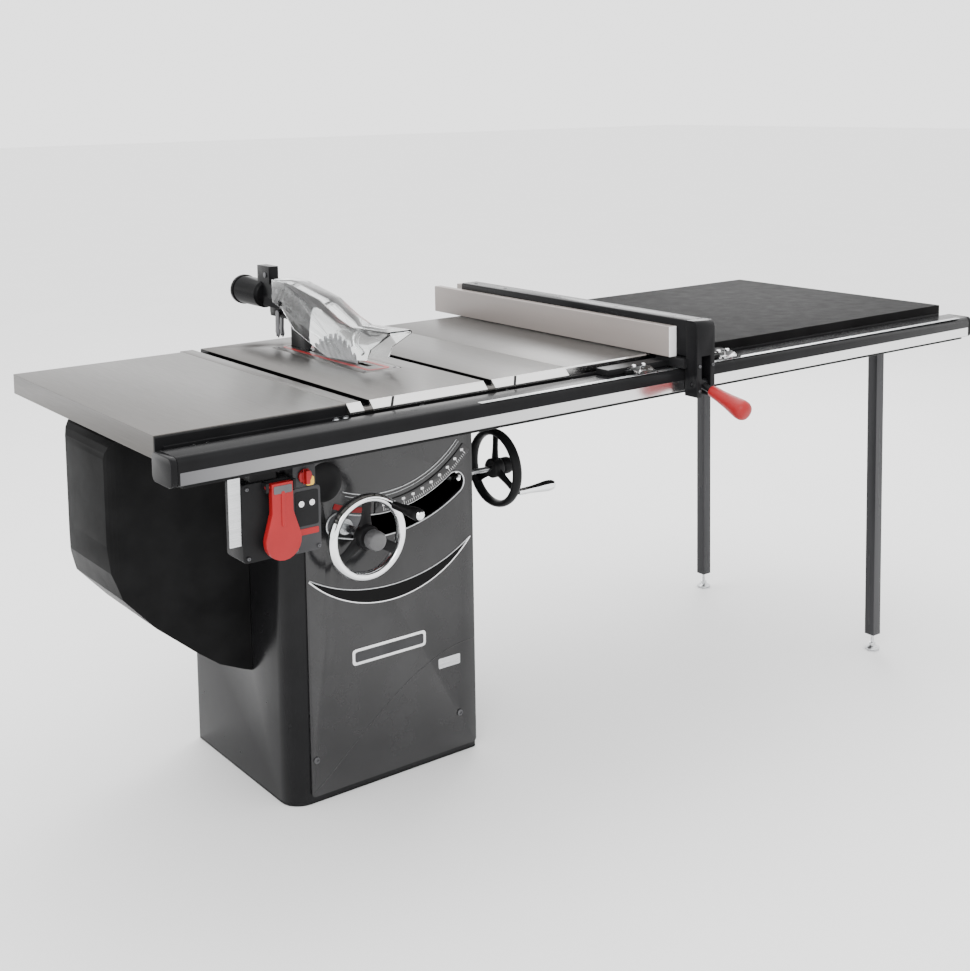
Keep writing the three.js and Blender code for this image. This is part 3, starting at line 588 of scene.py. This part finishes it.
def wing_ledge():
    """Black rail-mounting strip over the left wing's front face, the ground lips beside it, and
    dark marks on the lips that are painted reflections of the mitre slots.
    """
    prism("wing_strip", "yz", [(-448, 826), (-444.1, 826), (-444.1, 861), (-446, 862), (-448, 860)],
          -589.5, -221, "rail", "base", 0.4)
    bm = bmesh.new()
    bevel = [(-444.4, 864.05), (-458.4, 850.0), (-458.2, 846.3), (-457.6, 846.3), (-457.6, 850),
             (-444.2, 863.6)]
    for x0, x1 in ((-219.8, -190.2), (-170.8, 88.8), (108.2, 293.8)):
        prism_into(bm, "yz", bevel, x0, x1)
    publish("main_lip", bm, "ground", "base")
    # Dark diagonal marks across the ground lips: painted reflection of the dark mitre slots.
    bm = bmesh.new()
    for x in (-134, 152):
        corners = [(x, -458.3), (x + 6, -458.3), (x + 18, -444.8), (x + 12, -444.8)]
        slope = [(a, b, 850.1 + (b + 458.4) * 1.0036) for a, b in corners]
        low = [bm.verts.new(Vector((a, b, z - 0.4)) * MM) for a, b, z in slope]
        high = [bm.verts.new(Vector((a, b - 0.2, z + 0.1)) * MM) for a, b, z in slope]
        bm.faces.new(low)
        bm.faces.new(list(reversed(high)))
        for i in range(4):
            j = (i + 1) % 4
            bm.faces.new((low[i], high[i], high[j], low[j]))
    publish("lip_slot_reflections", bm, "plastic", "base")
    lip = [(-443.8, 864.05), (-446.5, 861.5), (-446.5, 846), (-444.05, 846), (-444.05, 862.5)]
    prism("right_lip", "yz", lip, 294.4, 527.8, "ground", "base", 0.1, 1)


wing_ledge()


def slot_shade_linings():
    """Dark gloss sheets on the floor and walls of the two mitre slots: painted shade in the slots.
    """
    bm = bmesh.new()
    for x in SLOT_XS:
        block_into(bm, x - 9.1, x + 9.1, -443.5, 251.5, 854.03, 854.33)
        for side in (-1, 1):
            near, far = sorted((x + side * 9.2, x + side * 9.45))
            block_into(bm, near, far, -443.5, 251.5, 854.4, 863.4)
    publish("slot_shade_linings", bm, "gloss", "base")


slot_shade_linings()


def rail_tape():
    """Steel rule on the rail's top face with its division marks."""
    x0, x1 = TAPE_X
    strip = [(x0, -531), (x1, -531), (x1, -518), (x0, -518)]
    prism("rail_tape", "xy", strip, 843.95, 844.35, "steel", "base", 0.1, 1)
    bm = bmesh.new()
    for i in range(0, 147):
        x = 25 + i * 10
        long = 8 if i % 5 == 0 else 4.5
        block_into(bm, x - 0.35, x + 0.35, -530.5, -530.5 + long, 844.3, 844.45)
    publish("rail_tape_marks", bm, "paint", "base")


rail_tape()

# ---------------------------------------------------------------- legs
for which in ("front", "rear"):
    refine("leg_" + which, "leg", 0.0018, 3)
    refine("leg_foot_" + which, "steel", 0.0006)

# ---------------------------------------------------------------- hidden frame
for node in ("trunnion_bracket_front", "trunnion_bracket_rear", "trunnion_cradle", "tilt_sector",
             "arbor_carriage", "brake_cartridge"):
    keep(node, "dark")
for node in ("elevation_shaft", "tilt_shaft", "arbor_shaft", "motor_pulley", "arbor_nut"):
    keep(node, "steel")
keep("motor", "paint")
keep("drive_belt", "rubber")
refine("saw_blade", "blade", 0.0002, 1)
refine("riving_spreader", "plastic", 0.0002, 1)
refine("kickback_pawls", "dark", 0.0004, 1)


# ---------------------------------------------------------------- handwheels
def oval_ring(r, t, wr, wt, n=20):
    """Section of a handwheel's rim as a closed oval."""
    turns = [2 * math.pi * k / n for k in range(n)]
    return [(r + wr * math.cos(u), t + wt * math.sin(u)) for u in turns]


def wheel_spoke(bm, axis, centre, deg, r0, r1, t_hub, t_rim, w0, w1, thick):
    """One dished spoke, oval in section, from hub to rim."""
    a0 = math.radians(deg)
    at = axes(axis)
    rings = []
    steps = 8
    for k in range(steps + 1):
        u = k / steps
        r = r0 + (r1 - r0) * u
        t = t_hub + (t_rim - t_hub) * (3 * u * u - 2 * u ** 3)
        w = w0 + (w1 - w0) * u - 2.0 * math.sin(math.pi * u)
        ring = []
        for j in range(12):
            s = 2 * math.pi * j / 12
            off = w * math.cos(s)
            a = centre[0] + r * math.cos(a0) - off * math.sin(a0)
            b = centre[1] + r * math.sin(a0) + off * math.cos(a0)
            ring.append(bm.verts.new(at(a * MM, b * MM, (t + thick * math.sin(s)) * MM)))
        rings.append(ring)
    for lo, hi in zip(rings, rings[1:]):
        for j in range(12):
            n = (j + 1) % 12
            bm.faces.new((lo[j], lo[n], hi[n], hi[j]))
    bm.faces.new(rings[0])
    bm.faces.new(list(reversed(rings[-1])))


def around(centre, deg):
    """Centre of the handle's pin on a wheel."""
    t = math.radians(deg)
    return centre[0] + HANDLE_R * math.cos(t), centre[1] + HANDLE_R * math.sin(t)


SHAFT = arc_point(SHAFT_ARC_R, SHAFT_DEG)
GRIP = around(SHAFT, 47)
TILT = (-162.0, 594.0)
TILT_GRIP = around(TILT, 214)


def elevation_wheel():
    """Front handwheel: chromed rim, three spokes, lock knob and turning handle."""
    bm = bmesh.new()
    revolve_into(bm, "y", oval_ring(78.6, -286, 9.3, 12.3), *SHAFT, 96, True)
    rim = publish("elevation_rim", bm, "chrome", "elevation_wheel")
    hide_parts("elevation_wheel_rim")
    bm = bmesh.new()
    boss = [(7, -296), (22, -296), (24, -293), (24, -276), (20, -266), (14, -262), (7, -262)]
    revolve_into(bm, "y", boss, *SHAFT, 48, True)
    for i in range(3):
        wheel_spoke(bm, "y", SHAFT, -30 - 120 * i, 20, 74, -280, -287, 15, 11, 4.5)
    hub = publish("elevation_hub", bm, "plastic", "elevation_wheel")
    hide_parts("elevation_wheel_hub")
    knob = revolve("elevation_lock", "y", [
        (0, -330), (12, -330), (16, -329), (18.6, -326), (19.8, -316), (19.8, -308), (18, -302),
        (15, -301), (0, -301),
    ], *SHAFT, "knob", "elevation_lock")
    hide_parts("elevation_lock_knob")
    bm = bmesh.new()
    for i in range(10):
        t = 2 * math.pi * i / 10
        x, z = SHAFT[0] + 19.0 * math.cos(t), SHAFT[1] + 19.0 * math.sin(t)
        revolve_into(bm, "y", [(0, -325), (1.0, -325), (1.0, -304), (0, -304)], x, z, 8)
    publish("elevation_lock_ribs", bm, "knob", "elevation_lock")
    grip = revolve("elevation_grip_body", "y", [
        (0, -300.5), (6, -300.5), (7.6, -303), (8.0, -308), (8.4, -328), (10.2, -352), (12.4, -372),
        (12.9, -384), (12.0, -391), (9.5, -394), (0, -394),
    ], *GRIP, "plastic", "elevation_grip")
    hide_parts("elevation_handle")
    revolve("elevation_grip_tip", "y", [
        (0, -393.5), (9.4, -393.5), (9.6, -395), (7, -397.6), (0, -398),
    ], *GRIP, "chrome", "elevation_grip")


elevation_wheel()


def tilt_wheel():
    """Side handwheel, all in black, with its plated handle and lock knob."""
    bm = bmesh.new()
    revolve_into(bm, "x", oval_ring(80, 327, 7.8, 11.8), *TILT, 80, True)
    boss = [(5.5, 314), (20, 314), (22, 317), (22, 336), (19, 340), (5.5, 340)]
    revolve_into(bm, "x", boss, *TILT, 40, True)
    for i in range(3):
        wheel_spoke(bm, "x", TILT, 90 + 120 * i, 18, 75, 328, 330, 12, 9, 4.5)
    wheel = publish("tilt_wheel_body_skin", bm, "plastic", "tilt_wheel_body")
    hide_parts("tilt_wheel")
    grip = revolve("tilt_grip_body", "x", [
        (0, 341.5), (5.5, 341.5), (7, 344), (7.6, 350), (8.2, 372), (10, 394), (12.2, 412),
        (12.8, 424), (12, 433), (9.5, 438.4), (4, 439.5), (0, 439.5),
    ], *TILT_GRIP, "chrome", "tilt_grip")
    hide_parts("tilt_handle")
    knob = revolve("tilt_lock_body", "x", [
        (0, 341), (15, 341), (17.5, 344), (18.8, 348), (18.8, 361), (17, 365.5), (14, 367.8),
        (0, 368),
    ], *TILT, "plastic", "tilt_lock")
    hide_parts("tilt_lock_knob")


tilt_wheel()

# ---------------------------------------------------------------- motor cover
refine("motor_cover", "cover", 0.004, 4, 14)
refine("motor_cover_latch", "plastic", 0.0012)


def cover_louvres():
    """Vent slats on the back of the motor cover."""
    bm = bmesh.new()
    for i in range(7):
        z = 600 + i * 16
        prism_into(bm, "xy", rounded(-430, -330, 188.2, 189.9, 0.6, 1), z, z + 6)
    publish("cover_louvres", bm, "plastic", "cover", 0.0004)


cover_louvres()

# ---------------------------------------------------------------- switches
refine("switch_plate", "steel", 0.0008)
refine("switch_box", "plastic", 0.0018, 3)
refine("switch_module", "grey", 0.0015, 3)
refine("switch_paddle", "red", 0.0034, 4)
refine("power_switch_knob", "red", 0.0012, 3)


def switch_details():
    """Faceplate, lamps, screws and collar of the switch module, and the paddle's rib."""
    face = rounded(-361, -315, 676, 738, 4)
    stripe = rounded(-361, -315, 660, 671, 2)
    prism("module_face", "xz", face, -501.4, -499.8, "plastic", "base", 0.4)
    prism("module_stripe", "xz", stripe, -501.2, -499.8, "red", "base", 0.3)
    bm = bmesh.new()
    for x in MODULE_LIGHT_XS:
        lens = [(0, -503.6), (2.2, -503.2), (3.2, -502), (3.2, -501.2), (0, -501.2)]
        revolve_into(bm, "y", lens, x, 716, 20)
    publish("module_lights", bm, "white", "base")
    bm = bmesh.new()
    for x in MODULE_LIGHT_XS:
        bezel = [(3.3, -502.6), (5.2, -502.6), (5.6, -501.2), (3.3, -501.2)]
        revolve_into(bm, "y", bezel, x, 716, 24, True)
    publish("module_light_rings", bm, "bright", "base")
    spots = [(-360, 636), (-316, 636), (-452, 640), (-452, 760)]
    socket_screws("module_screws", "y", spots, -500.0, -1, 3.2, "dark", "base")
    collar = rounded(-338, -322, 746, 762, 4)
    rib = rounded(-398, -391, 690, 752, 3)
    plate = rounded(-412, -377, 748, 762, 3)
    prism("power_collar", "xz", collar, -501.5, -498.2, "yellow", "base", 0.8)
    prism("paddle_rib", "xz", rib, -522.6, -520.6, "red", "paddle", 0.8, 3)
    prism("paddle_plate", "xz", plate, -522.0, -520.8, "dark", "paddle", 0.3)


switch_details()

# ---------------------------------------------------------------- guard
refine("guard_bracket", "rail", 0.0012, 2, 35)
refine("guard_canopy", "clear", 0.0008)
refine("guard_side_left", "clear", 0.0008)


def guard_details():
    """Bolts of the bracket, stiffening ribs, thickened edges and rivets of the clear guard."""
    bm = bmesh.new()
    for y, z, r in ((150, 960, 8), (176, 985, 5), (240, 1015, 6), (205, 970, 5)):
        for x, side in ((12.0, 1), (-12.0, -1)):
            tall, low = x + side * 3.4, x + side * 2.2
            revolve_into(bm, "x", [(0, tall), (r * 0.6, tall), (r, low), (r, x), (0, x)], y, z, 20)
    publish("bracket_bolts", bm, "dark", "carriage")
    bm = bmesh.new()
    prism_into(bm, "yz", [(150, 972), (-60, 905), (-75, 893), (-62, 889), (150, 952)], 20.2, 23.8)
    prism_into(bm, "yz", [(60, 996), (54, 984), (-98, 884), (-108, 890), (40, 992)], 20.2, 23.8)
    publish("canopy_ribs", bm, "clear", "canopy", 0.0008)
    bm = bmesh.new()
    prism_into(bm, "yz", [(120, 962), (-60, 906), (-72, 895), (-62, 891), (120, 948)], -27.6, -26.8)
    prism_into(bm, "yz", [(60, 984), (54, 974), (-98, 882), (-104, 888), (44, 980)], -27.6, -26.8)
    publish("side_ribs", bm, "clear", "side_shield", 0.0003)
    bm = bmesh.new()
    rim = [(183, 1010), (119, 1010.5), (-22, 986.5), (-98, 956.5), (-147, 943.5), (-289, 950.5)]
    tube_into(bm, [(26.2, y, z) for y, z in rim], 0.7, 8)
    tube_into(bm, [(-22.8, y, z) for y, z in rim], 0.7, 8)
    publish("canopy_edge", bm, "clear", "canopy")
    bm = bmesh.new()
    for y, z in ((110, 1003), (-20, 978), (-130, 935)):
        rivet = [(0, 27.0), (3.4, 27.0), (4.4, 26.2), (4.4, 23.6), (0, 23.6)]
        revolve_into(bm, "x", rivet, y, z, 18)
    publish("canopy_rivets", bm, "dark", "canopy")


guard_details()

# ---------------------------------------------------------------- fence
refine("fence_tube", "rail", 0.0015, 3)
refine("fence_face_left", "face", 0.0012, 2)
refine("fence_face_right", "face", 0.0012, 2)
refine("fence_head", "rail", 0.0022, 3)
refine("fence_lever", "paint", 0.0012, 2)
refine("fence_cursor_left", "clear", 0.0012, 2)
refine("fence_cursor_right", "clear", 0.0012, 2)


def fence_details():
    """Lever grip, board ends, screws and the rule cursors' small parts."""
    turn = Matrix.Rotation(math.radians(180 + LEVER_DEG), 4, "X")
    turn = Matrix.Translation(Vector(LEVER_PIVOT_M)) @ turn
    bm = bmesh.new()
    revolve_into(bm, "y", [
        (0, 33), (9.5, 33), (11.5, 34.5), (12.5, 40), (13.5, 60), (16.2, 86), (19.6, 108),
        (20.7, 118), (20.2, 126), (17.2, 132), (11, 135.6), (5, 136.3), (0, 136.4),
    ], 0, 0, 40)
    bm.transform(turn)
    grip = publish("lever_grip", bm, "red", "lever")
    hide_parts("fence_grip")
    bm = bmesh.new()
    block_into(bm, 519.6, 539.6, -513.4, -511.8, 866.4, 929.6)
    block_into(bm, 590.4, 610.4, -513.4, -511.8, 866.4, 929.6)
    publish("board_ends", bm, "white", "fence", 0.0004)
    spots = [(546, 800), (584, 800), (546, 852), (584, 852)]
    socket_screws("head_screws", "y", spots, -574.0, -1, 3.2, "dark", "fence")
    bm = bmesh.new()
    for x0, x1 in ((405, 477), (657, 716)):
        block_into(bm, x0, x1, -507, -499.2, 845.6, 851.5)
    publish("cursor_mounts", bm, "plastic", "fence", 0.0006)
    bm = bmesh.new()
    for x in (441, 688):
        block_into(bm, x - 0.35, x + 0.35, -533, -509, 845.1, 845.6)
    publish("cursor_lines", bm, "red", "fence")
    bm = bmesh.new()
    for x in (428, 455, 675, 701):
        screw = [(0, 861.5), (3.0, 861.5), (4.6, 860.5), (4.6, 856.5), (0, 856.5)]
        revolve_into(bm, "z", screw, x, -504, 18)
    publish("cursor_screws", bm, "bright", "fence")
    bm = bmesh.new()
    for y in (-480, -300, -100, 100, 220):
        revolve_into(bm, "z", [(0, 945.9), (4.0, 945.9), (5.0, 945.0), (0, 944.6)], 565, y, 18)
    publish("tube_screws", bm, "dark", "fence")


fence_details()


# ---------------------------------------------------------------- studio
def studio():
    """Pale floor, even white surroundings and three large soft lamps."""
    ground = bmesh.new()
    half = FLOOR_HALF_M
    corners = ((-half, -half), (half, -half), (half, half), (-half, half))
    ground.faces.new([ground.verts.new((x, y, -FLOOR_DROP_M)) for x, y in corners])
    mesh = bpy.data.meshes.new("studio_floor")
    ground.to_mesh(mesh)
    ground.free()
    floor = bpy.data.objects.new("studio_floor", mesh)
    mesh.materials.append(make("floor_white", (0.86, 0.86, 0.86), 0.7, spread=0.01, scale=2))
    bpy.context.scene.collection.objects.link(floor)
    world = bpy.data.worlds.new("studio")
    world.use_nodes = True
    sky = world.node_tree.nodes["Background"]
    sky.inputs[0].default_value = (1, 1, 1, 1)
    sky.inputs[1].default_value = WORLD_STRENGTH
    bpy.context.scene.world = world
    for name, place, aim, size, power in (
        ("key", (-2.6, -3.4, 3.4), (0, -0.2, 0.6), 2.2, 90),
        ("top", (0.6, 0.4, 3.6), (0.4, 0, 0.8), 2.6, 70),
        ("rim", (3.4, 2.2, 2.6), (0.6, 0, 0.7), 1.6, 50),
    ):
        data = bpy.data.lights.new(name, "AREA")
        data.size = size
        data.energy = power
        lamp = bpy.data.objects.new(name, data)
        lamp.location = place
        lamp.rotation_euler = (Vector(aim) - Vector(place)).to_track_quat("-Z", "Y").to_euler()
        bpy.context.scene.collection.objects.link(lamp)


studio()


def camera():
    """Camera at the viewing angle from the front left, just above the table."""
    yaw, pitch, roll = (math.radians(v) for v in CAMERA_DEG)
    ahead = Vector((math.cos(yaw), math.sin(yaw), 0))
    right = Vector((math.sin(yaw), -math.cos(yaw), 0))
    up = Vector((0, 0, 1))
    look = ahead * math.cos(pitch) - up * math.sin(pitch)
    rise = ahead * math.sin(pitch) + up * math.cos(pitch)
    side = right * math.cos(roll) + rise * math.sin(roll)
    head = rise * math.cos(roll) - right * math.sin(roll)
    data = bpy.data.cameras.new("camera")
    wide, high = PICTURE_PX
    data.sensor_width = SENSOR_MM
    data.lens = FOCAL_PX / wide * SENSOR_MM
    data.shift_x = (wide / 2 - CENTRE_PX[0]) / wide
    data.shift_y = -(high / 2 - CENTRE_PX[1]) / wide
    data.clip_end = 200
    obj = bpy.data.objects.new("camera", data)
    obj.matrix_world = Matrix((
        (side.x, head.x, -look.x, CAMERA_M[0]),
        (side.y, head.y, -look.y, CAMERA_M[1]),
        (side.z, head.z, -look.z, CAMERA_M[2]),
        (0, 0, 0, 1),
    ))
    bpy.context.scene.collection.objects.link(obj)
    bpy.context.scene.camera = obj


camera()
